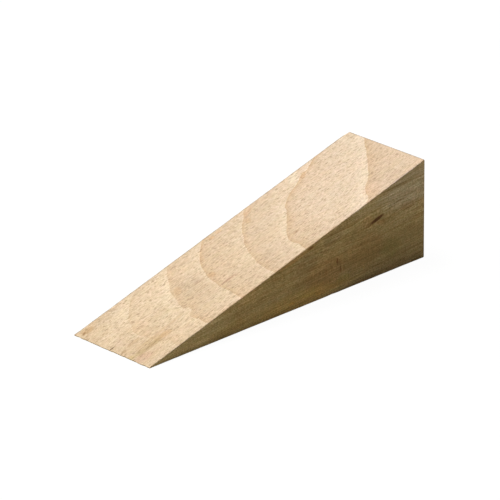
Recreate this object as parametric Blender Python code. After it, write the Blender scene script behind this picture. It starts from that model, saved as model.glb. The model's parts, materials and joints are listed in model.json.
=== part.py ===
"""Door wedge: one solid piece of beech, sawn on a slope out of square planed stock.

+X runs from the thin tip to the thick back end, +Y across the width and +Z up. The origin is
the middle of the underside, so the wedge stands on the plane Z = 0. Lengths are in metres.
"""

import math

import bmesh
import bpy

# Driving dimensions.
LENGTH = 0.140
WIDTH = 0.040
BACK_HEIGHT = 0.0395
TIP_HEIGHT = 0.0004

# Every sharp edge is eased with sandpaper. Towards the tip the wedge is thinner than the easing,
# which then shrinks to a share of the height.
EASED_RADIUS = 0.0006
EASED_SHARE_OF_HEIGHT = 0.35
EASING_SEGMENTS = 4
QUARTER_TURN = math.pi / 2

# Worked out from the driving dimensions.
TIP_X = -LENGTH / 2
BACK_X = LENGTH / 2
RISE = (BACK_HEIGHT - TIP_HEIGHT) / LENGTH
FULLY_EASED_X = TIP_X + (EASED_RADIUS / EASED_SHARE_OF_HEIGHT - TIP_HEIGHT) / RISE

# Points closer than this are one point, where the eased edges meet at the back end's corners.
SAME_POINT = 1e-6
SHARP_EDGE_ANGLE = math.radians(30)

BEECH_COLOUR = (0.61, 0.44, 0.28, 1.0)
BEECH_ROUGHNESS = 0.62


def clear_scene():
    for thing in list(bpy.data.objects):
        bpy.data.objects.remove(thing, do_unlink=True)


def height_at(x):
    """Height of the sloping face above the underside."""
    return TIP_HEIGHT + RISE * (x - TIP_X)


def section(x, inset=0.0):
    """The outline of the wedge across X = x, with eased corners, drawn in by inset on all sides."""
    height = height_at(x)
    radius = min(EASED_RADIUS, EASED_SHARE_OF_HEIGHT * height)
    half_width = WIDTH / 2 - radius
    centres = (
        (half_width, height - radius),
        (-half_width, height - radius),
        (-half_width, radius),
        (half_width, radius),
    )
    outline = []
    for corner, (centre_y, centre_z) in enumerate(centres):
        for step in range(EASING_SEGMENTS + 1):
            angle = QUARTER_TURN * (corner + step / EASING_SEGMENTS)
            y = centre_y + (radius - inset) * math.cos(angle)
            z = centre_z + (radius - inset) * math.sin(angle)
            outline.append((x, y, z))
    return outline


def back_edge_sections():
    """The last sections, which turn the edges of the back end over in a quarter circle."""
    sections = []
    for step in range(EASING_SEGMENTS + 1):
        angle = QUARTER_TURN * step / EASING_SEGMENTS
        x = BACK_X - EASED_RADIUS * (1 - math.sin(angle))
        sections.append(section(x, inset=EASED_RADIUS * (1 - math.cos(angle))))
    return sections


def build_wedge_body():
    """Skins the sections from the tip to the back end into one closed solid."""
    sections = [section(TIP_X), section(FULLY_EASED_X)] + back_edge_sections()

    solid = bmesh.new()
    rings = [[solid.verts.new(point) for point in outline] for outline in sections]
    for ring, next_ring in zip(rings, rings[1:]):
        for i in range(len(ring)):
            solid.faces.new((ring[i - 1], ring[i], next_ring[i], next_ring[i - 1]))
    solid.faces.new(rings[0])
    solid.faces.new(rings[-1])
    bmesh.ops.remove_doubles(solid, verts=solid.verts, dist=SAME_POINT)
    bmesh.ops.recalc_face_normals(solid, faces=solid.faces)

    mesh = bpy.data.meshes.new("wedge_body")
    solid.to_mesh(mesh)
    solid.free()
    mesh.shade_smooth()
    mesh.set_sharp_from_angle(angle=SHARP_EDGE_ANGLE)

    body = bpy.data.objects.new("wedge_body", mesh)
    bpy.context.scene.collection.objects.link(body)
    return body


def beech():
    material = bpy.data.materials.new("beech")
    material.use_nodes = True
    shader = material.node_tree.nodes["Principled BSDF"]
    shader.inputs["Base Color"].default_value = BEECH_COLOUR
    shader.inputs["Roughness"].default_value = BEECH_ROUGHNESS
    shader.inputs["Metallic"].default_value = 0.0
    return material


clear_scene()
wedge_body = build_wedge_body()
wedge_body.data.materials.append(beech())
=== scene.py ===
"""The look of a plain beech door wedge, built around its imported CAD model.

The CAD frame is kept: +X from the thin tip to the back end, +Y across, +Z up. Sizes of the wedge
and its wood are written in millimetres, and MM turns them to metres where Blender needs them.
"""

import json
import math

import bmesh
import bpy
from mathutils import Matrix, Vector, noise
from mathutils.geometry import delaunay_2d_cdt


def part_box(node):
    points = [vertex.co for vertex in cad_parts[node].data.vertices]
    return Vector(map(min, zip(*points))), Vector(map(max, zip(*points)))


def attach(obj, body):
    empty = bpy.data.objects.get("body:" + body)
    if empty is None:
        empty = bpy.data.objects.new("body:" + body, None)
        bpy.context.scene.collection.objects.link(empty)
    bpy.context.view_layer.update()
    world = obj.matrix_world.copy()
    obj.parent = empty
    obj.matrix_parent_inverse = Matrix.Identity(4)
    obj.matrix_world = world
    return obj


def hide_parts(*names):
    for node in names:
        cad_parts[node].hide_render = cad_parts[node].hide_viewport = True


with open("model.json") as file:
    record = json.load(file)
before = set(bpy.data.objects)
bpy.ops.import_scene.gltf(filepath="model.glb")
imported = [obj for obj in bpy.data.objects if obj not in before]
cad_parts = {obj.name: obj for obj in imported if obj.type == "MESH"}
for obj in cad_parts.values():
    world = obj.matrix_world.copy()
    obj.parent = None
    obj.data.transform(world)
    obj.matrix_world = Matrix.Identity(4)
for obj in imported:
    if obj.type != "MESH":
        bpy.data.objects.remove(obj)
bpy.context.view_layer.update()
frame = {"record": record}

# ---------------------------------------------------------------------------------------------
# The wedge's driving sizes, read from the CAD model.
# ---------------------------------------------------------------------------------------------

MM = 0.001
low_corner, high_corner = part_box("wedge_body")
mounts = {mount["name"]: mount for mount in frame["record"]["mounts"]}
ramp_point = mounts["door_ramp"]["pos_m"]
ramp_normal = mounts["door_ramp"]["axis"]

TIP_X = low_corner.x / MM
BACK_X = high_corner.x / MM
HALF_WIDTH = high_corner.y / MM
RISE = -ramp_normal[0] / ramp_normal[2]
TIP_HEIGHT = ramp_point[2] / MM + RISE * (TIP_X - ramp_point[0] / MM)


def height_at(x):
    """Height of the sloping face at x."""
    return TIP_HEIGHT + RISE * (x - TIP_X)


# ---------------------------------------------------------------------------------------------
# The wedge's mesh. Cross-sections run from the tip to the back end. Each has an upper strip (one
# eased corner, the sloping face, the other eased corner) and a lower strip (the same round the
# underside). The two sides between the strips and the back end are filled with even triangles.
# ---------------------------------------------------------------------------------------------

# Cell sizes: the usual one, one at the tip, and how far from the tip the cells grow to the usual.
CELL = 0.75
TIP_CELL = 0.3
TIP_ZONE = 14.0

# Rounding of the tip's edge and of the back end's edges, and the cells round and down them.
TIP_ROUNDING = 0.12
TIP_SEGMENTS = 3
BACK_ROUNDING = 0.45
BACK_SEGMENTS = 5
BACK_CELLS = 50

# Radius of each eased corner, and its knocks: place along the wedge, half length and extra radius.
EASING = {
    "ramp_near": (0.32, ((-31.0, 1.4, 0.16), (48.5, 1.1, 0.2), (69.7, 0.9, 0.5))),
    "ramp_far": (0.40, ((-52.0, 1.6, 0.2), (12.0, 1.0, 0.16), (69.4, 1.8, 0.7))),
    "sole_near": (0.25, ((21.0, 2.0, 0.25),)),
    "sole_far": (0.50, ((-12.0, 1.6, 0.2), (38.0, 1.4, 0.2))),
}
CORNER_SEGMENTS = 5
LARGEST_SHARE_OF_HEIGHT = 0.35

# How unevenly the corners are eased: share of the radius, length of a swell, and seed.
EASING_SWELLS = ((0.35, 9.0, 0.0), (0.2, 2.3, 3.0))
CORNER_SEED_STEP = 7.3

# Wear of the tip's edge: how far it sets the edge back, length of a swell, and seed.
TIP_SWELLS = ((0.22, 4.1, 2.5), (0.1, 1.3, 9.5))
TIP_WEAR_REACH = 5.0

# Chips in the tip's edge: place across, half width and depth.
CHIPS = ((-17.2, 0.8, 0.2), (-12.9, 0.8, 0.2), (-6.5, 0.6, 0.25), (-0.9, 0.5, 0.15), (17.4, 1.1, 0.3))

# The split in the tip: its place across, length, half width and depth, and the cells near it.
SPLIT_Y = 0.9
SPLIT_LENGTH = 2.8
SPLIT_HALF_WIDTH = 0.34
SPLIT_DEPTH = 0.3
SPLIT_CELL = 0.13
SPLIT_ZONE = 2.6

# How far the even triangles stay from a face's rim, and the distances that count as none.
RIM_CLEARANCE = 0.6 * CELL
SAME_RIM_POINT = 1e-6
SAME_VERTEX = 0.002
SHORTEST_EDGE = 0.001
ONLY_INSIDE = 1  # delaunay_2d_cdt's output type that leaves out triangles outside the rim


def swell(place, size, length, seed):
    """A smooth random swell of about the given size and length."""
    return size * noise.noise(Vector((place / length, 0.0, seed)))


def corner_radius(corner, x):
    """Radius of an eased corner at x, with its swells and knocks."""
    radius, knocks = EASING[corner]
    seed = sorted(EASING).index(corner) * CORNER_SEED_STEP
    swells = (swell(x, size, length, seed + own) for size, length, own in EASING_SWELLS)
    radius *= sum(swells, start=1)
    for place, half_length, extra in knocks:
        radius += extra * math.exp(-(((x - place) / half_length) ** 2))
    return min(radius, LARGEST_SHARE_OF_HEIGHT * height_at(x))


def blend(a, b, share):
    """From a to b as the share goes from 0 to 1."""
    return a + (b - a) * min(max(share, 0.0), 1.0)


def cell_along(x):
    """Length of a cell at x, finest at the tip."""
    return blend(TIP_CELL, CELL, (x - TIP_X) / TIP_ZONE)


def cell_across(y):
    """Width of a cell at y, finest at the split."""
    return blend(SPLIT_CELL, CELL, abs(y - SPLIT_Y) / SPLIT_ZONE)


def steps(start, end, spacing_at):
    """Places from start to end, about spacing_at(place) apart."""
    places = [start]
    while places[-1] < end:
        places.append(places[-1] + spacing_at(places[-1]))
    stretch = (end - start) / (places[-1] - start)
    return [start + (place - start) * stretch for place in places]


def shares_across():
    """Shares of the width where the sloping face and the underside are divided."""
    places = steps(-HALF_WIDTH, HALF_WIDTH, cell_across)
    return [(place + HALF_WIDTH) / (2 * HALF_WIDTH) for place in places[1:-1]]


SHARES_ACROSS = shares_across()


def quarter(radius, segments):
    """Points round an edge: how far each lies behind one face, and how far inside the other."""
    turns = [math.pi / 2 * step / segments for step in range(segments + 1)]
    return [(radius * (1 - math.sin(turn)), radius * (1 - math.cos(turn))) for turn in turns]


def stations():
    """(x, inset, share of the corner radius left) of each cross-section, from tip to back end."""
    tip = [
        (TIP_X + behind, inset, 1 - inset / TIP_ROUNDING)
        for behind, inset in quarter(TIP_ROUNDING, TIP_SEGMENTS)
    ]
    back = [
        (BACK_X - behind, inset, 1 - inset / BACK_ROUNDING)
        for behind, inset in quarter(BACK_ROUNDING, BACK_SEGMENTS)
    ]
    inner = steps(tip[0][0], back[0][0], cell_along)
    middle = [(x, 0.0, 1.0) for x in inner[1:-1]]
    return tip[::-1] + middle + back


def tip_wear(y):
    """How far the worn edge of the tip is set back."""
    wear = sum(max(0.0, swell(y, *each)) for each in TIP_SWELLS)
    for place, half_width, depth in CHIPS:
        wear += depth * max(0.0, 1 - abs(y - place) / half_width)
    return wear


def worn(x, y, z):
    """A point moved by the wear of the tip's edge and by the split in it."""
    behind_tip = x - TIP_X
    set_back = tip_wear(y) * max(0.0, 1 - behind_tip / TIP_WEAR_REACH) ** 2
    height = height_at(x)
    moved_x = x + set_back
    moved_z = z * height_at(moved_x) / height
    across_split = max(0.0, 1 - abs(y - SPLIT_Y) / SPLIT_HALF_WIDTH)
    along_split = max(0.0, 1 - behind_tip / SPLIT_LENGTH)
    moved_z -= SPLIT_DEPTH * (across_split * along_split) * z / height
    return (moved_x, y, moved_z)


def strip(x, inset, share, upper):
    """One cross-section's points round the sloping face (upper) or the underside, from -Y to +Y."""
    name = "ramp" if upper else "sole"
    near = corner_radius(name + "_near", x) * share
    far = corner_radius(name + "_far", x) * share
    level, inward = (height_at(x) - inset, -1) if upper else (inset, 1)
    side = HALF_WIDTH - inset
    left, right = -side + near, side - far
    near_corner = [(-side + i, level + inward * behind) for behind, i in quarter(near, CORNER_SEGMENTS)]
    far_corner = [(side - i, level + inward * behind) for behind, i in quarter(far, CORNER_SEGMENTS)]
    flat = [(left + (right - left) * place, level) for place in SHARES_ACROSS]
    return [worn(x, y, z) for y, z in near_corner + flat + far_corner[::-1]]


class Skin:
    """Vertices and faces of the wedge while its surface is put together."""

    def __init__(self):
        self.points = []
        self.faces = []

    def add(self, points):
        """Adds points and gives their numbers."""
        first = len(self.points)
        self.points += points
        return list(range(first, len(self.points)))

    def bridge(self, row, next_row):
        """Joins two rows of as many points by a band of four-sided faces."""
        for i in range(len(row) - 1):
            self.faces.append((row[i], row[i + 1], next_row[i + 1], next_row[i]))

    def fill(self, loop, flat_axis):
        """Closes a flat loop with even triangles about one cell wide."""
        a, b = [axis for axis in range(3) if axis != flat_axis]
        rim = [Vector((self.points[i][a], self.points[i][b])) for i in loop]
        level = sum(self.points[i][flat_axis] for i in loop) / len(loop)
        count = len(rim)
        corners, _, triangles, sources, _, _ = delaunay_2d_cdt(
            rim + lattice(rim), [], [list(range(count))], ONLY_INSIDE, SAME_RIM_POINT
        )
        index = []
        for corner, source in zip(corners, sources):
            known = [i for i in source if i < count]
            if known:
                index.append(loop[known[0]])
                continue
            point = [level] * 3
            point[a], point[b] = corner
            index += self.add([tuple(point)])
        self.faces += [tuple(index[i] for i in triangle) for triangle in triangles]


def lattice(rim):
    """A triangular lattice of points over the box round a rim, clear of the rim itself."""
    low = [min(point[i] for point in rim) for i in range(2)]
    high = [max(point[i] for point in rim) for i in range(2)]
    row_height = CELL * math.sqrt(3) / 2
    near_rim = {}
    for point in rim:
        near_rim.setdefault((int(point.x // CELL), int(point.y // CELL)), []).append(point)
    found = []
    for row in range(1, int((high[1] - low[1]) / row_height) + 1):
        y = low[1] + row * row_height
        for column in range(int((high[0] - low[0]) / CELL) + 1):
            point = Vector((low[0] + (column + 0.5 * (row % 2)) * CELL, y))
            cell = (int(point.x // CELL), int(point.y // CELL))
            close = [
                other
                for i in (-1, 0, 1)
                for j in (-1, 0, 1)
                for other in near_rim.get((cell[0] + i, cell[1] + j), ())
                if (other - point).length < RIM_CLEARANCE
            ]
            if not close:
                found.append(point)
    return found


def close_tip(skin, upper, lower):
    """The tip's thin face, and the ends of its rounded edge."""
    skin.bridge(upper[0], lower[0])
    for i in range(TIP_SEGMENTS):
        for end in (0, -1):
            skin.faces.append((upper[i][end], upper[i + 1][end], lower[i + 1][end], lower[i][end]))


def round_back(skin, upper, lower):
    """The rounded upright edges of the back end; gives their columns of points, for both sides."""
    columns = {0: [], -1: []}
    for upper_row, lower_row in zip(upper[-1 - BACK_SEGMENTS:], lower[-1 - BACK_SEGMENTS:]):
        for end in (0, -1):
            top, bottom = (Vector(skin.points[row[end]]) for row in (upper_row, lower_row))
            between = [tuple(top.lerp(bottom, step / BACK_CELLS)) for step in range(1, BACK_CELLS)]
            columns[end].append([upper_row[end]] + skin.add(between) + [lower_row[end]])
    for end in (0, -1):
        for column, next_column in zip(columns[end], columns[end][1:]):
            skin.bridge(column, next_column)
    return columns


def close_flats(skin, upper, lower, columns):
    """The two flat sides and the back end."""
    between = slice(TIP_SEGMENTS, -1 - BACK_SEGMENTS)
    for end in (0, -1):
        top_edge = [row[end] for row in upper[between]]
        bottom_edge = [row[end] for row in lower[between]]
        skin.fill(top_edge + columns[end][0] + bottom_edge[::-1], flat_axis=1)
    top = upper[-1][CORNER_SEGMENTS:-CORNER_SEGMENTS]
    bottom = lower[-1][CORNER_SEGMENTS:-CORNER_SEGMENTS]
    near, far = (columns[end][-1][1:-1] for end in (0, -1))
    skin.fill(top + far + bottom[::-1] + near[::-1], flat_axis=0)


def wedge_skin():
    """The wedge's whole closed surface."""
    skin = Skin()
    sections = stations()
    upper = [skin.add(strip(*section, upper=True)) for section in sections]
    lower = [skin.add(strip(*section, upper=False)) for section in sections]
    for rows in (upper, lower):
        for row, next_row in zip(rows, rows[1:]):
            skin.bridge(row, next_row)
    close_tip(skin, upper, lower)
    columns = round_back(skin, upper, lower)
    close_flats(skin, upper, lower, columns)
    return skin


def build_wedge():
    """The wedge's object, in metres, with no material yet."""
    skin = wedge_skin()
    mesh = bpy.data.meshes.new("beech_wedge")
    mesh.from_pydata([tuple(c * MM for c in point) for point in skin.points], [], skin.faces)
    solid = bmesh.new()
    solid.from_mesh(mesh)
    bmesh.ops.remove_doubles(solid, verts=solid.verts, dist=SAME_VERTEX * MM)
    bmesh.ops.dissolve_degenerate(solid, edges=solid.edges, dist=SHORTEST_EDGE * MM)
    bmesh.ops.recalc_face_normals(solid, faces=solid.faces)
    solid.to_mesh(mesh)
    solid.free()
    mesh.shade_smooth()
    wedge = bpy.data.objects.new("beech_wedge", mesh)
    bpy.context.scene.collection.objects.link(wedge)
    return wedge


# ---------------------------------------------------------------------------------------------
# Node arithmetic: a Field is a node's output that adds, subtracts and multiplies like a number.
# ---------------------------------------------------------------------------------------------

# Numbers of the Mix node's sockets for colours, which share their names with others.
MIX_AMOUNT = 0
MIX_FIRST = 6
MIX_SECOND = 7
MIX_COLOUR = 2

# Blender's noise keeps close to its middle value; this widens it to about -1 to 1.
NOISE_MIDDLE = 0.5
NOISE_GAIN = 2.6
NO_SHIFT = (0.0, 0.0, 0.0)


class Field:
    """A value that varies through the wood, held by the output of a node."""

    def __init__(self, socket):
        self.socket = socket

    def __add__(self, other):
        return maths("ADD", self, other)

    def __radd__(self, other):
        return maths("ADD", other, self)

    def __sub__(self, other):
        return maths("SUBTRACT", self, other)

    def __rsub__(self, other):
        return maths("SUBTRACT", other, self)

    def __mul__(self, other):
        return maths("MULTIPLY", self, other)

    def __rmul__(self, other):
        return maths("MULTIPLY", other, self)

    def __truediv__(self, other):
        return maths("DIVIDE", self, other)

    def __pow__(self, other):
        return maths("POWER", self, other)


def add_node(tree, kind, inputs, **settings):
    """A new node with its settings, and with each input linked to a Field or set to a value."""
    node = tree.nodes.new("ShaderNode" + kind)
    for setting, value in settings.items():
        setattr(node, setting, value)
    for name, value in inputs.items():
        if isinstance(value, Field):
            tree.links.new(value.socket, node.inputs[name])
        else:
            node.inputs[name].default_value = value
    return node


def tree_of(*values):
    """The node tree of the first Field among the values."""
    return next(value.socket.id_data for value in values if isinstance(value, Field))


def maths(operation, *values, clamp=False):
    """A Math node over Fields and plain numbers."""
    inputs = dict(enumerate(values))
    node = add_node(tree_of(*values), "Math", inputs, operation=operation, use_clamp=clamp)
    return Field(node.outputs[0])


def clamped(field):
    """The field kept between 0 and 1."""
    return maths("ADD", field, 0.0, clamp=True)


def amount(field, contrast=0.7, middle=0.5):
    """A field from -1 to 1, such as a texture, as an amount from 0 to 1."""
    return clamped(field * contrast + middle)


def rising(field, low, high):
    """0 below low, 1 above high, and a smooth step between them; low may be above high."""
    inputs = {"Value": field, "From Min": low, "From Max": high}
    node = add_node(tree_of(field), "MapRange", inputs, interpolation_type="SMOOTHSTEP")
    return Field(node.outputs["Result"])


def fading(distance, reach):
    """1 where the distance is 0, dying away over the reach."""
    return maths("EXPONENT", distance * (-1 / reach))


def vector(x, y, z):
    """Three fields as one vector."""
    node = add_node(tree_of(x, y, z), "CombineXYZ", {"X": x, "Y": y, "Z": z})
    return Field(node.outputs[0])


def scaled(axes, size, shift):
    """Coordinates divided by the size of a grain, and shifted so that textures differ."""
    divided = [field / one for field, one in zip(axes, size)]
    return [field + by if by else field for field, by in zip(divided, shift)]


def cloudy(x, y, z, detail=2.0):
    """Smooth noise, mostly from -1 to 1, over coordinates already divided by its grain size."""
    inputs = {"Vector": vector(x, y, z), "Scale": 1.0, "Detail": detail, "Roughness": 0.5}
    node = add_node(tree_of(x, y, z), "TexNoise", inputs, noise_dimensions="3D")
    return (Field(node.outputs["Fac"]) - NOISE_MIDDLE) * NOISE_GAIN


def texture(axes, size, shift=NO_SHIFT, detail=2.0):
    """Cloudy noise with grains of the given size along the axes."""
    return cloudy(*scaled(axes, size, shift), detail=detail)


def cells(x, y, z):
    """Distance to the middle of the nearest of many scattered cells, and two numbers of its own."""
    inputs = {"Vector": vector(x, y, z), "Scale": 1.0, "Randomness": 1.0}
    node = add_node(tree_of(x, y, z), "TexVoronoi", inputs, feature="F1", voronoi_dimensions="3D")
    own = add_node(tree_of(x, y, z), "SeparateColor", {"Color": Field(node.outputs["Color"])})
    return Field(node.outputs["Distance"]), Field(own.outputs[0]), Field(own.outputs[1])


def tinted(colour, tint, shown):
    """The colour multiplied by the tint, as far as it is shown, from 0 to 1."""
    inputs = {MIX_AMOUNT: shown, MIX_FIRST: colour, MIX_SECOND: (*tint, 1.0)}
    node = add_node(
        tree_of(colour), "Mix", inputs, data_type="RGBA", blend_type="MULTIPLY", clamp_factor=True
    )
    return Field(node.outputs[MIX_COLOUR])


# ---------------------------------------------------------------------------------------------
# Beech: where things are. The grain rises slightly towards the back end, so a point anywhere in
# the wood is looked up where its grain line meets the plane of the sloping face. Places on the
# sloping face are given from the tip and across, and places on a side from the tip and above the
# floor.
# ---------------------------------------------------------------------------------------------

GRAIN_RISE = 0.08

# The grain's slow waves: length of one along, across and up, and how high they lift it.
GRAIN_WAVE = (22.0, 9.0, 7.0)
GRAIN_WAVE_HEIGHT = 0.35

# Growth rings, from the outermost to the innermost: where each boundary crosses the sloping face
# at its near edge (distance from the tip), how far it sweeps back towards the far edge, how late
# it bends (1 is straight), and how strongly it shows.
RINGS = (
    (-62.0, 17.0, 3.0, 1.0),
    (-45.0, 17.0, 3.0, 1.0),
    (-27.5, 18.0, 3.0, 1.0),
    (-10.5, 18.0, 3.0, 0.8),
    (12.0, 19.3, 4.5, 0.6),
    (29.3, 16.8, 2.5, 1.4),
    (45.9, 18.3, 3.0, 1.0),
    (61.7, 23.6, 2.1, 1.0),
    (78.4, 40.7, 2.2, 1.2),
    (109.3, 37.6, 0.9, 1.7),
    (152.0, 45.0, 1.0, 1.0),
)

# How unevenly a boundary runs, in broad and in fine waves: size of one across, along the sloping
# face and along the wedge, and how far it moves the boundary.
BROAD_WAVE = (7.0, 30.0, 60.0)
BROAD_WAVE_PUSH = 0.5
FINE_WAVE = (1.9, 12.0, 30.0)
FINE_WAVE_PUSH = 0.3

# Where a boundary is pushed aside: middle on the sloping face, half length and half width, and
# how far it is pushed towards the back end.
KINKS = (
    ((31.0, -7.4), (9.0, 2.4), 1.7),
    ((29.0, -12.3), (9.0, 2.6), -1.0),
    ((14.0, -17.0), (8.0, 5.0), 2.2),
    ((97.0, 9.0), (11.0, 6.5), -2.0),
    ((116.0, 19.0), (10.0, 5.0), 3.2),
    ((130.0, 1.0), (18.0, 7.0), 0.7),
    ((115.0, -13.5), (9.0, 5.0), -1.0),
)

# How far each part of a ring reaches from its boundary, measured along the sloping face. The line
# at the boundary has this strength on the near half, and 1 more from LINE_FULL_Y outwards.
LATE_REACH = 4.0
LINE_REACH = 1.0
EARLY_REACH = 5.0
NEAR_LINE = 0.5
LINE_FULL_Y = 16.0

# The pith lies above the wedge, near its near side: place across and height at the tip. The
# radius turns the angle round it into a length.
PITH_Y = -19.0
PITH_Z = 100.0
USUAL_RADIUS = 85.0

# The knot on the near side: its place, and how far, how steeply, how deep and how strongly it
# spreads the grain.
KNOT = (114.8, 23.0)
KNOT_REACH = (17.0, 7.0)
KNOT_SLANT = 12.0
KNOT_DEPTH = 5.0
KNOT_SPREAD = 0.4

# How deep under its surface a face's own look begins, and how deep it is full.
SAWN_BEGINS, SAWN_FULL = 0.5, 0.15
SIDE_BEGINS, SIDE_FULL = 0.5, 0.25
END_BEGINS, END_FULL = 0.6, 0.3
# The far edge and back edge lines below are painted shade, not a face's own look.
FAR_EDGE_BEGINS, FAR_EDGE_FULL = 0.75, 0.3
BACK_EDGE_BEGINS, BACK_EDGE_FULL = 0.8, 0.35

# ---------------------------------------------------------------------------------------------
# Beech: its textures and colours.
# ---------------------------------------------------------------------------------------------

# Textures that follow the rings: size of one grain along, round the rings and out from the pith,
# and detail.
GRAIN_TEXTURES = {
    "fibre": ((10.0, 0.42, 0.3), 1.0),
    "thread": ((4.2, 0.28, 1.1), 1.0),
    "grit": ((0.7, 0.28, 0.4), 1.0),
    "streak": ((24.0, 4.0, 0.6), 2.0),
}

# Textures that don't: size of one grain along, across and up, shift, and detail.
CLOUD_TEXTURES = {
    "chatter": ((1.1, 3.0, 5.0), NO_SHIFT, 1.0),
    "cloud": ((16.0, 6.0, 9.0), NO_SHIFT, 2.0),
    "blush": ((26.0, 8.0, 14.0), (9.1, 0.0, 0.0), 2.0),
    "pink": ((3.4, 2.2, 1.8), (0.0, 0.0, 4.3), 2.0),
    "gold": ((3.4, 2.2, 1.8), (0.0, 0.0, 9.6), 2.0),
}

# Size of one band along the planed faces: along, across and up.
BAND = (55.0, 14.0, 2.6)

# Each ring's tone is read from noise, this far from the next ring's, at this place in it.
TONE_STEP = 3.7
TONE_PLACE = (0.5, 0.5)

# Rays, the short dark flecks of beech: size along, round the rings and out from the pith, shift,
# where a fleck begins and is full (distance from its middle), and where the draw of which cells
# hold one begins and is full (of 1).
SHORT_RAYS = ((1.9, 0.5, 5.0), NO_SHIFT, (0.5, 0.2), (0.2, 0.35))
LONG_RAYS = ((4.2, 0.42, 8.0), (31.7, 0.0, 0.0), (0.45, 0.2), (0.45, 0.55))
FAINTEST_RAY = 0.2

# Rays are mostly hidden on the sides, but show more in a patch of the near side.
RAYS_HIDDEN = 0.9
FLAKY_PATCH = ((89.0, 9.0), (15.0, 6.0))
FLAKY_RAYS = 0.5

# Colour of the plain wood, and how far from the tip the wood is made darker and yellower.
PLAIN_WOOD = (0.801, 0.664, 0.522, 1.0)
TIP_DARKENING_LENGTH = 120.0

# How much of the sides' rough, dark grain the far side has, and how much more of it the near side has;
# the near side's extra is partly painted shade.
FAR_ROUGHNESS = 0.5
NEAR_EXTRA_GRAIN_AND_SHADE = 0.5

# How strongly the painted shade line of the far edge shows on the back edge.
BACK_EDGE_SHARE = 0.7

# What multiplies the colour of the plain wood where each thing shows in full.
TINTS = {
    "late_wood": (0.945, 0.900, 0.840),
    "ring_line": (0.970, 0.925, 0.855),
    "early_wood": (1.105, 1.140, 1.165),
    "ring_tone": (0.985, 0.975, 0.960),
    "blush": (1.020, 0.985, 0.965),
    "cloud": (0.975, 0.985, 0.945),
    "pink": (1.030, 0.970, 1.000),
    "gold": (1.010, 1.005, 0.930),
    "tip_darkening": (0.965, 0.955, 0.880),
    "fibre": (0.84, 0.81, 0.77),
    "thread": (0.80, 0.77, 0.72),
    "grit": (0.72, 0.69, 0.64),
    "short_ray": (0.61, 0.56, 0.50),
    "long_ray": (0.68, 0.63, 0.59),
    "side_pink": (1.040, 0.985, 0.990),
    "side_fibre": (0.71, 0.66, 0.53),
    "side_grit": (0.69, 0.64, 0.52),
    "side_chatter": (1.16, 1.17, 1.18),
    "planed": (1.17, 1.215, 1.065),
    "streak": (0.80, 0.76, 0.66),
    "band": (0.90, 0.88, 0.85),
    "end_grain": (0.86, 0.80, 0.72),
    "painted_edge_shade": (0.60, 0.61, 0.65),
}

# Roughness of the plain wood, and how much rougher or smoother each thing is.
PLAIN_ROUGHNESS = 0.62
FIBRE_ROUGHNESS = 0.06
RAY_ROUGHNESS = 0.12
LATE_SMOOTHNESS = 0.05
END_ROUGHNESS = 0.12
SPECULAR = 0.3

# How far each thing stands proud or is sunk, as a share of the bump's depth.
FIBRE_RISE = 0.35
RAY_SINK = 0.9
LATE_RISE = 0.3
BUMP_DEPTH = 0.06
BUMP_STRENGTH = 0.55

# How far inside its edge a mark is full, as a share of its size.
MARK_SOFTNESS = 0.5

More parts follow.
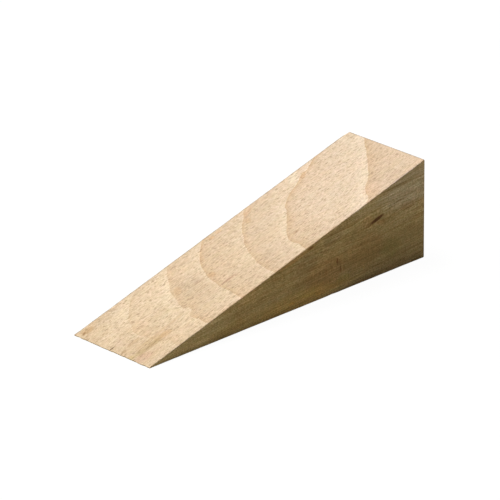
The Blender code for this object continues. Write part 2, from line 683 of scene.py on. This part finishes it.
# Marks on the sloping face: middle, half length and half width, slant in degrees, and tint.
RAMP_MARKS = (
    ((10.5, -9.9), (9.0, 2.6), -1.0, (0.95, 0.93, 0.86)),
    ((11.3, -10.5), (4.6, 1.5), 2.0, (0.84, 0.81, 0.72)),
    ((4.6, -10.4), (3.6, 1.7), 0.0, (0.85, 0.84, 0.74)),
    ((17.0, -10.3), (3.6, 2.0), 0.0, (0.94, 0.87, 0.79)),
    ((18.5, -14.6), (6.0, 2.0), 0.0, (1.05, 1.06, 1.08)),
    ((12.0, -7.7), (9.5, 0.7), 0.0, (0.95, 0.91, 0.85)),
    ((24.0, -7.4), (6.0, 0.45), 0.0, (0.94, 0.89, 0.84)),
    ((7.6, -3.6), (4.4, 1.1), 0.0, (0.92, 0.89, 0.83)),
    ((1.9, -4.4), (1.3, 1.0), 0.0, (0.78, 0.73, 0.65)),
    ((0.6, -9.6), (1.8, 1.8), 0.0, (0.93, 0.93, 0.78)),
    ((3.2, -13.5), (5.0, 3.0), 0.0, (1.00, 0.93, 0.96)),
    ((3.8, 17.3), (3.8, 2.2), 0.0, (0.87, 0.79, 0.68)),
    ((2.2, 16.9), (1.7, 0.5), 30.0, (0.70, 0.60, 0.50)),
    ((7.2, 16.4), (1.1, 0.4), 0.0, (0.84, 0.79, 0.74)),
    ((1.0, SPLIT_Y), (2.1, 0.34), 0.0, (0.30, 0.22, 0.17)),
    ((51.3, -7.2), (5.2, 0.65), 0.0, (0.80, 0.72, 0.69)),
    ((44.8, 1.7), (3.6, 0.45), 0.0, (0.80, 0.74, 0.70)),
    ((83.9, -8.8), (1.9, 0.5), 0.0, (0.82, 0.74, 0.68)),
    ((37.0, 4.8), (3.6, 1.8), 55.0, (0.97, 0.91, 0.84)),
    ((50.2, 0.6), (2.3, 1.9), 60.0, (0.96, 0.89, 0.79)),
    ((55.4, 11.2), (2.4, 1.3), 50.0, (0.98, 0.95, 0.90)),
    ((80.4, 12.9), (2.6, 1.5), 45.0, (0.90, 0.83, 0.75)),
    ((84.5, 17.0), (4.0, 1.2), 25.0, (1.01, 0.95, 0.90)),
    ((66.2, 17.6), (1.8, 1.1), 0.0, (1.00, 0.90, 0.79)),
    ((70.2, 18.0), (2.0, 1.0), 0.0, (1.04, 0.95, 0.86)),
    ((111.0, 15.0), (3.4, 1.2), 40.0, (0.95, 0.88, 0.79)),
    ((107.8, 17.4), (4.8, 1.8), 30.0, (1.06, 1.12, 1.15)),
    ((116.5, -15.5), (5.0, 4.4), 0.0, (1.01, 0.97, 0.95)),
    ((27.0, 12.0), (26.0, 12.0), 0.0, (1.07, 1.09, 1.12)),
    ((110.0, -6.0), (24.0, 22.0), 20.0, (1.05, 1.07, 1.10)),
    ((130.0, 12.0), (16.0, 12.0), 0.0, (1.02, 1.045, 1.075)),
    ((66.0, -12.5), (20.0, 8.0), 0.0, (0.95, 0.94, 0.93)),
    ((6.0, -9.0), (8.0, 10.0), 0.0, (0.95, 0.935, 0.92)),
    ((42.0, 0.0), (8.0, 14.0), 0.0, (0.93, 0.92, 0.915)),
    ((15.0, 1.5), (6.0, 3.5), 0.0, (1.09, 1.07, 1.08)),
    ((23.0, -4.0), (6.0, 4.0), 0.0, (1.03, 1.05, 1.07)),
    ((4.5, 6.5), (6.0, 4.0), 0.0, (1.06, 1.09, 1.12)),
    ((13.5, 17.0), (7.0, 3.4), 0.0, (0.91, 0.91, 0.90)),
    ((31.0, 18.5), (9.0, 2.5), 0.0, (0.94, 0.94, 0.93)),
    ((106.0, 16.5), (13.0, 4.0), 0.0, (1.05, 1.06, 1.075)),
    ((124.0, -13.0), (8.0, 8.0), 0.0, (0.95, 0.94, 0.93)),
)

# Marks on the near side, in the same way, and broad patches of painted light on it.
SIDE_MARKS_AND_PAINTED_LIGHT = (
    (KNOT, (4.7, 0.98), 17.0, (0.39, 0.25, 0.16)),
    ((112.8, 22.5), (6.0, 1.1), 16.0, (0.84, 0.72, 0.62)),
    ((109.5, 24.0), (4.5, 2.2), 10.0, (1.06, 0.98, 0.94)),
    ((116.8, 21.2), (3.2, 1.3), -10.0, (1.02, 0.92, 0.88)),
    ((125.0, 33.1), (8.5, 0.5), 5.3, (0.74, 0.68, 0.62)),
    ((124.6, 26.8), (8.5, 0.5), 7.0, (0.68, 0.62, 0.56)),
    ((131.0, 23.9), (5.0, 1.7), 3.0, (0.98, 0.91, 0.87)),
    ((131.5, 22.7), (4.2, 0.45), 8.0, (0.76, 0.70, 0.66)),
    ((114.5, 15.1), (4.8, 0.5), 0.0, (0.76, 0.72, 0.68)),
    ((132.0, 15.4), (4.5, 0.45), 8.0, (0.84, 0.80, 0.74)),
    ((87.0, 18.5), (4.2, 0.5), -2.0, (0.66, 0.60, 0.52)),
    ((80.4, 21.8), (1.8, 0.7), 8.0, (0.66, 0.52, 0.44)),
    ((74.5, 20.2), (12.5, 1.1), 15.6, (1.06, 0.95, 0.86)),
    ((94.0, 12.7), (0.55, 1.6), 0.0, (0.66, 0.50, 0.42)),
    ((95.7, 8.9), (0.55, 1.8), 0.0, (0.74, 0.58, 0.50)),
    ((97.4, 8.8), (0.45, 1.7), 0.0, (0.82, 0.70, 0.62)),
    ((91.2, 10.4), (0.5, 2.2), 0.0, (0.86, 0.78, 0.72)),
    ((88.2, 10.4), (0.5, 2.6), 0.0, (0.86, 0.78, 0.72)),
    ((107.8, 5.6), (0.5, 1.5), 0.0, (1.20, 1.18, 1.12)),
    ((122.8, 6.6), (0.45, 1.4), 0.0, (1.18, 1.20, 1.16)),
    ((133.4, 7.2), (0.45, 1.5), 0.0, (1.16, 1.18, 1.12)),
    ((84.0, 2.5), (1.8, 0.9), 0.0, (1.05, 0.99, 0.86)),
    ((70.5, 2.8), (2.0, 0.9), 0.0, (1.04, 0.99, 0.88)),
    ((97.0, 4.8), (4.5, 1.8), 0.0, (1.01, 1.03, 0.90)),
    ((81.0, 4.5), (6.5, 2.4), 0.0, (1.01, 1.02, 0.93)),
    ((122.0, 9.5), (7.0, 5.0), 0.0, (0.93, 0.97, 0.86)),
    ((88.0, 10.0), (13.0, 8.0), 6.0, (1.03, 0.93, 0.88)),
    ((108.0, 12.5), (13.0, 8.0), 0.0, (1.02, 0.94, 0.88)),
    # Painted light: this row makes the upper back of the near side lighter and bluer.
    ((134.0, 31.0), (22.0, 9.0), 8.0, (1.13, 1.27, 1.80)),
    ((109.0, 29.0), (11.0, 4.5), 14.0, (1.09, 1.15, 1.30)),
    ((122.0, 14.0), (30.0, 14.0), 0.0, (0.91, 0.91, 0.91)),
    # Painted light: the next four rows lighten the near side along its lower edge, where it is otherwise
    # darker near the floor.
    ((75.0, 3.0), (24.0, 5.5), 2.0, (1.10, 1.07, 1.00)),
    ((52.0, 1.0), (62.0, 6.0), 2.0, (1.18, 1.17, 1.08)),
    ((20.0, 3.0), (26.0, 6.5), 12.0, (1.15, 1.22, 1.42)),
    ((75.0, 1.6), (40.0, 3.2), 2.0, (1.17, 1.14, 1.07)),
    ((112.0, 10.5), (20.0, 4.0), 0.0, (0.86, 0.85, 0.80)),
    ((77.0, 15.5), (9.0, 5.5), 12.0, (0.87, 0.85, 0.88)),
    ((92.0, 22.5), (8.0, 3.0), 15.0, (0.88, 0.87, 0.90)),
    ((50.0, 12.5), (7.0, 3.0), 14.0, (1.12, 1.10, 1.11)),
    ((130.0, 21.0), (10.0, 4.0), 8.0, (1.06, 1.10, 1.20)),
)


def mark(face, middle, half_size, slant=0.0):
    """How strongly a soft-edged oval mark covers a point, given its place on a face as a vector."""
    inputs = {
        "Vector": face,
        "Location": (*middle, 0.0),
        "Rotation": (0.0, 0.0, math.radians(slant)),
        "Scale": (*half_size, 1.0),
    }
    oval = Field(add_node(tree_of(face), "Mapping", inputs, vector_type="TEXTURE").outputs[0])
    ball = add_node(tree_of(face), "TexGradient", {"Vector": oval}, gradient_type="SPHERICAL")
    return rising(Field(ball.outputs["Fac"]), 0.0, MARK_SOFTNESS)


class Place:
    """Where a point of the wood is in the wedge and in its grain, and which face it is close to."""

    def __init__(self, tree):
        where = add_node(tree, "TexCoord", {})
        parts = add_node(tree, "SeparateXYZ", {"Vector": Field(where.outputs["Object"])})
        x, y, z = (Field(parts.outputs[axis]) / MM for axis in range(3))
        self.x, self.y, self.z = x, y, z
        self.from_tip = x - TIP_X
        under_ramp = self.from_tip * RISE + TIP_HEIGHT - z

        # How strongly each face's own look shows.
        self.sawn = rising(under_ramp, SAWN_BEGINS, SAWN_FULL)
        self.side = rising(maths("ABSOLUTE", y), HALF_WIDTH - SIDE_BEGINS, HALF_WIDTH - SIDE_FULL)
        self.near_side = rising(y, SIDE_BEGINS - HALF_WIDTH, SIDE_FULL - HALF_WIDTH)
        self.end_grain = rising(x, BACK_X - END_BEGINS, BACK_X - END_FULL)

        # Places on the sloping face and on a side.
        self.on_ramp = vector(self.from_tip, y, 0.0)
        self.on_side = vector(self.from_tip, z, 0.0)

        # The grain: its height at the tip, where it meets the sloping face, and the distances
        # along it, round the rings and out from the pith.
        wave = texture((x, y, z), GRAIN_WAVE) * GRAIN_WAVE_HEIGHT
        level = z - self.from_tip * GRAIN_RISE + wave
        swirl = mark(self.on_side, KNOT, KNOT_REACH, KNOT_SLANT) * fading(y + HALF_WIDTH, KNOT_DEPTH)
        level = level - (level - (KNOT[1] - KNOT[0] * GRAIN_RISE)) * swirl * KNOT_SPREAD
        self.level = level
        self.along = (level - TIP_HEIGHT) / (RISE - GRAIN_RISE)
        sideways, down = y - PITH_Y, PITH_Z - level
        out = maths("SQRT", sideways * sideways + down * down)
        around = maths("ARCTAN2", sideways, down) * USUAL_RADIUS
        self.grain = (x, around, out)


def growth_rings(place):
    """How strongly late wood, its first line and early wood show, and the ring's number."""
    x, y, along = place.x, place.y, place.along
    broad = texture((y, along, x), BROAD_WAVE) * BROAD_WAVE_PUSH
    waver = broad + texture((y, along, x), FINE_WAVE) * FINE_WAVE_PUSH
    for middle, half_size, push in KINKS:
        waver = waver - mark(place.on_ramp, middle, half_size) * push
    share_across = clamped((y + HALF_WIDTH) / (2 * HALF_WIDTH))
    crossing = along + waver

    beyond = [crossing - (near + sweep * share_across**bend) for near, sweep, bend, _ in RINGS]
    passed = [maths("GREATER_THAN", distance, 0.0) for distance in beyond]
    late, line, early = 0.0, 0.0, 0.0
    number = passed[0]
    for i in range(len(RINGS) - 1):
        inside = passed[i] - passed[i + 1]
        late = inside * RINGS[i][3] * fading(beyond[i], LATE_REACH) + late
        line = inside * RINGS[i][3] * fading(beyond[i], LINE_REACH) + line
        early = inside * RINGS[i + 1][3] * fading(beyond[i + 1] * -1.0, EARLY_REACH) + early
        number = number + passed[i + 1]
    return late, line * (rising(y, 0.0, LINE_FULL_Y) + NEAR_LINE), early, number


def flecks(place, rays):
    """How strongly a fleck of the given rays covers a point."""
    size, shift, edge, rarity = rays
    distance, chance, depth = cells(*scaled(place.grain, size, shift))
    return rising(distance, *edge) * rising(chance, *rarity) * (depth * (1 - FAINTEST_RAY) + FAINTEST_RAY)


def wood_textures(place):
    """The wood's textures by name, each mostly from -1 to 1."""
    textures = {"band": texture((place.x, place.y, place.level), BAND)}
    for name, (size, detail) in GRAIN_TEXTURES.items():
        textures[name] = texture(place.grain, size, detail=detail)
    for name, (size, shift, detail) in CLOUD_TEXTURES.items():
        textures[name] = texture((place.x, place.y, place.z), size, shift, detail)
    return textures


def layered(colour, amounts):
    """The colour with each named tint laid over it in turn, as far as its amount says."""
    for name, shown in amounts.items():
        colour = tinted(colour, TINTS[name], shown)
    return colour


def grown_wood(colour, place, rings, rays, textures):
    """The wood as it grew: its rings, uneven tone, fibres and rays."""
    late, line, early, number = rings
    short_ray, long_ray = rays
    tone = cloudy(number * TONE_STEP, *TONE_PLACE, detail=0.0)
    flaky = place.near_side * mark(place.on_side, *FLAKY_PATCH)
    rays_shown = 1 - place.side * RAYS_HIDDEN + flaky * FLAKY_RAYS
    amounts = {
        "late_wood": late,
        "ring_line": line,
        "early_wood": early,
        "ring_tone": clamped(tone + 0.5),
        "blush": amount(textures["blush"], contrast=0.8, middle=0.3),
        "cloud": amount(textures["cloud"], contrast=0.8, middle=0.3),
        "pink": amount(textures["pink"]),
        "gold": amount(textures["gold"]),
        # Darker and yellower towards the tip, fading out along the wedge.
        "tip_darkening": clamped(1 - place.from_tip / TIP_DARKENING_LENGTH),
        "fibre": amount(textures["fibre"]),
        "thread": amount(textures["thread"]) * rays_shown,
        "grit": amount(textures["grit"]),
        "short_ray": short_ray * rays_shown,
        "long_ray": long_ray * rays_shown,
    }
    return layered(colour, amounts)


def worked_wood(colour, place, textures):
    """What tools and age did: rough sides, planed faces with bands and streaks, and end grain. The near
    side's extra dark grain is partly painted shade.
    """
    # Partly real grain, partly painted shade: the near side gets more of the dark, olive grain than the
    # far side.
    side_grain_and_shade = place.near_side * NEAR_EXTRA_GRAIN_AND_SHADE + place.side * FAR_ROUGHNESS
    planed = 1 - place.sawn
    amounts = {
        "side_pink": side_grain_and_shade * amount(textures["pink"], contrast=0.9),
        "side_fibre": side_grain_and_shade * amount(textures["fibre"]),
        "side_grit": side_grain_and_shade * amount(textures["grit"]),
        "side_chatter": side_grain_and_shade * amount(textures["chatter"]),
        "planed": planed,
        "streak": planed * amount(textures["streak"], contrast=0.8, middle=0.4),
        "band": planed * amount(textures["band"], contrast=0.8, middle=0.3),
        "end_grain": place.end_grain,
    }
    return layered(colour, amounts)


def marks_and_painted_light(colour, place):
    """The marks of the sloping face and the near side, painted light on the near side, and a painted
    shade line along the far and back edges.
    """
    for middle, half_size, slant, tint in RAMP_MARKS:
        colour = tinted(colour, tint, place.sawn * mark(place.on_ramp, middle, half_size, slant))
    for middle, half_size, slant, tint in SIDE_MARKS_AND_PAINTED_LIGHT:
        colour = tinted(colour, tint, place.near_side * mark(place.on_side, middle, half_size, slant))
    # Painted shade: a dark grey line along the far edge and the back edge of the sloping face.
    far_edge = rising(place.y, HALF_WIDTH - FAR_EDGE_BEGINS, HALF_WIDTH - FAR_EDGE_FULL)
    back_edge = rising(place.x, BACK_X - BACK_EDGE_BEGINS, BACK_X - BACK_EDGE_FULL)
    edge = place.sawn * maths("MAXIMUM", far_edge, back_edge * BACK_EDGE_SHARE)
    return layered(colour, {"painted_edge_shade": edge})


def beech():
    """The material of the whole wedge."""
    material = bpy.data.materials.new("beech")
    material.use_nodes = True
    tree = material.node_tree
    shader = tree.nodes["Principled BSDF"]

    place = Place(tree)
    rings = growth_rings(place)
    short_ray, long_ray = flecks(place, SHORT_RAYS), flecks(place, LONG_RAYS)
    textures = wood_textures(place)

    colour = Field(add_node(tree, "RGB", {}).outputs[0])
    colour.socket.default_value = PLAIN_WOOD
    colour = grown_wood(colour, place, rings, (short_ray, long_ray), textures)
    colour = worked_wood(colour, place, textures)
    colour = marks_and_painted_light(colour, place)

    late, fibre = rings[0], textures["fibre"]
    roughness = PLAIN_ROUGHNESS + fibre * FIBRE_ROUGHNESS + short_ray * RAY_ROUGHNESS
    roughness = roughness - late * LATE_SMOOTHNESS + place.end_grain * END_ROUGHNESS
    relief = fibre * FIBRE_RISE - short_ray * RAY_SINK - long_ray * RAY_SINK + late * LATE_RISE
    inputs = {"Height": relief, "Strength": BUMP_STRENGTH, "Distance": BUMP_DEPTH * MM}
    bump = add_node(tree, "Bump", inputs)

    tree.links.new(colour.socket, shader.inputs["Base Color"])
    tree.links.new(roughness.socket, shader.inputs["Roughness"])
    tree.links.new(bump.outputs["Normal"], shader.inputs["Normal"])
    shader.inputs["Metallic"].default_value = 0.0
    shader.inputs["Specular IOR Level"].default_value = SPECULAR
    return material


# ---------------------------------------------------------------------------------------------
# Stage: pale floor, soft light, and the camera. Here lengths are in metres.
# ---------------------------------------------------------------------------------------------

# The camera sees the floor and the sky white. As light on the wedge both are dimmer and warmer.
FLOOR_SIZE = 8.0
FLOOR_COLOUR = (0.86, 0.86, 0.86, 1.0)
FLOOR_GLOW_SHARE = 0.95
FLOOR_AS_LIGHT = (0.35, 0.32, 0.205, 1.0)
SKY_AS_LIGHT = (1.0, 0.97, 0.86, 1.0)
SKY_AS_LIGHT_STRENGTH = 0.12
WHITE = (1.0, 1.0, 1.0, 1.0)
WHITE_STRENGTH = 1.02

# Each sun's direction, seen from the wedge, and its strength.
SUN_SOFTNESS = math.radians(42)
SUNS = {
    "key": ((-0.30, 0.42, 0.86), 4.25),
    "side": ((0.80, 0.45, 0.40), 0.9),
    "front": ((-0.75, -0.62, 0.12), 0.22),
}

CAMERA_AZIMUTH = math.radians(-43.748)
CAMERA_ELEVATION = math.radians(23.408)
CAMERA_ROLL = math.radians(-0.531)
CAMERA_DISTANCE = 1.6
CAMERA_LENS = 315.5
CAMERA_TARGET = Vector((-0.00108, 0.00001, 0.01855))
CAMERA_REACH = 50


def glow(tree, kind, colour, strength):
    """An emission or a background of one colour."""
    return Field(add_node(tree, kind, {"Color": colour, "Strength": strength}).outputs[0])


def seen_or_lighting(tree, seen, lighting):
    """One shader where the camera sees it, and another where it lights or is mirrored."""
    ray = add_node(tree, "LightPath", {})
    inputs = {0: Field(ray.outputs["Is Camera Ray"]), 1: lighting, 2: seen}
    return Field(add_node(tree, "MixShader", inputs).outputs[0])


def build_floor():
    """A wide pale floor."""
    mesh = bpy.data.meshes.new("floor")
    half = FLOOR_SIZE / 2
    corners = [(-half, -half, 0), (half, -half, 0), (half, half, 0), (-half, half, 0)]
    mesh.from_pydata(corners, [], [(0, 1, 2, 3)])
    floor = bpy.data.objects.new("floor", mesh)
    bpy.context.scene.collection.objects.link(floor)

    material = bpy.data.materials.new("floor")
    material.use_nodes = True
    tree = material.node_tree
    tree.nodes.clear()
    pale = Field(add_node(tree, "BsdfDiffuse", {"Color": FLOOR_COLOUR}).outputs[0])
    white = glow(tree, "Emission", WHITE, WHITE_STRENGTH)
    shown = Field(add_node(tree, "MixShader", {0: FLOOR_GLOW_SHARE, 1: pale, 2: white}).outputs[0])
    dim = Field(add_node(tree, "BsdfDiffuse", {"Color": FLOOR_AS_LIGHT}).outputs[0])
    add_node(tree, "OutputMaterial", {"Surface": seen_or_lighting(tree, shown, dim)})
    mesh.materials.append(material)


def build_sky():
    """White where the camera sees it, and a weak warm fill for everything else."""
    world = bpy.data.worlds.new("studio")
    world.use_nodes = True
    tree = world.node_tree
    tree.nodes.clear()
    fill = glow(tree, "Background", SKY_AS_LIGHT, SKY_AS_LIGHT_STRENGTH)
    white = glow(tree, "Background", WHITE, WHITE_STRENGTH)
    add_node(tree, "OutputWorld", {"Surface": seen_or_lighting(tree, white, fill)})
    bpy.context.scene.world = world


def build_sun(name, direction, strength):
    """A soft, even light from the given direction."""
    lamp = bpy.data.lights.new(name, "SUN")
    lamp.energy = strength
    lamp.angle = SUN_SOFTNESS
    light = bpy.data.objects.new(name, lamp)
    light.rotation_euler = Vector(direction).to_track_quat("Z", "Y").to_euler()
    bpy.context.scene.collection.objects.link(light)


def build_camera():
    """A long lens, from in front of the near side and the tip and a little above."""
    back = Vector(
        (
            math.sin(CAMERA_AZIMUTH) * math.cos(CAMERA_ELEVATION),
            -math.cos(CAMERA_AZIMUTH) * math.cos(CAMERA_ELEVATION),
            math.sin(CAMERA_ELEVATION),
        )
    )
    lens = bpy.data.cameras.new("camera")
    lens.lens = CAMERA_LENS
    lens.clip_end = CAMERA_REACH
    camera = bpy.data.objects.new("camera", lens)
    camera.location = CAMERA_TARGET + back * CAMERA_DISTANCE
    aim = back.to_track_quat("Z", "Y").to_matrix() @ Matrix.Rotation(CAMERA_ROLL, 3, "Z")
    camera.rotation_euler = aim.to_euler()
    bpy.context.scene.collection.objects.link(camera)
    bpy.context.scene.camera = camera


build_floor()
build_sky()
for sun, (direction, strength) in SUNS.items():
    build_sun(sun, direction, strength)
build_camera()
bpy.context.scene.view_settings.view_transform = "Standard"
bpy.context.scene.view_settings.look = "None"

wedge = build_wedge()
wedge.data.materials.append(beech())
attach(wedge, "root")
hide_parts("wedge_body")
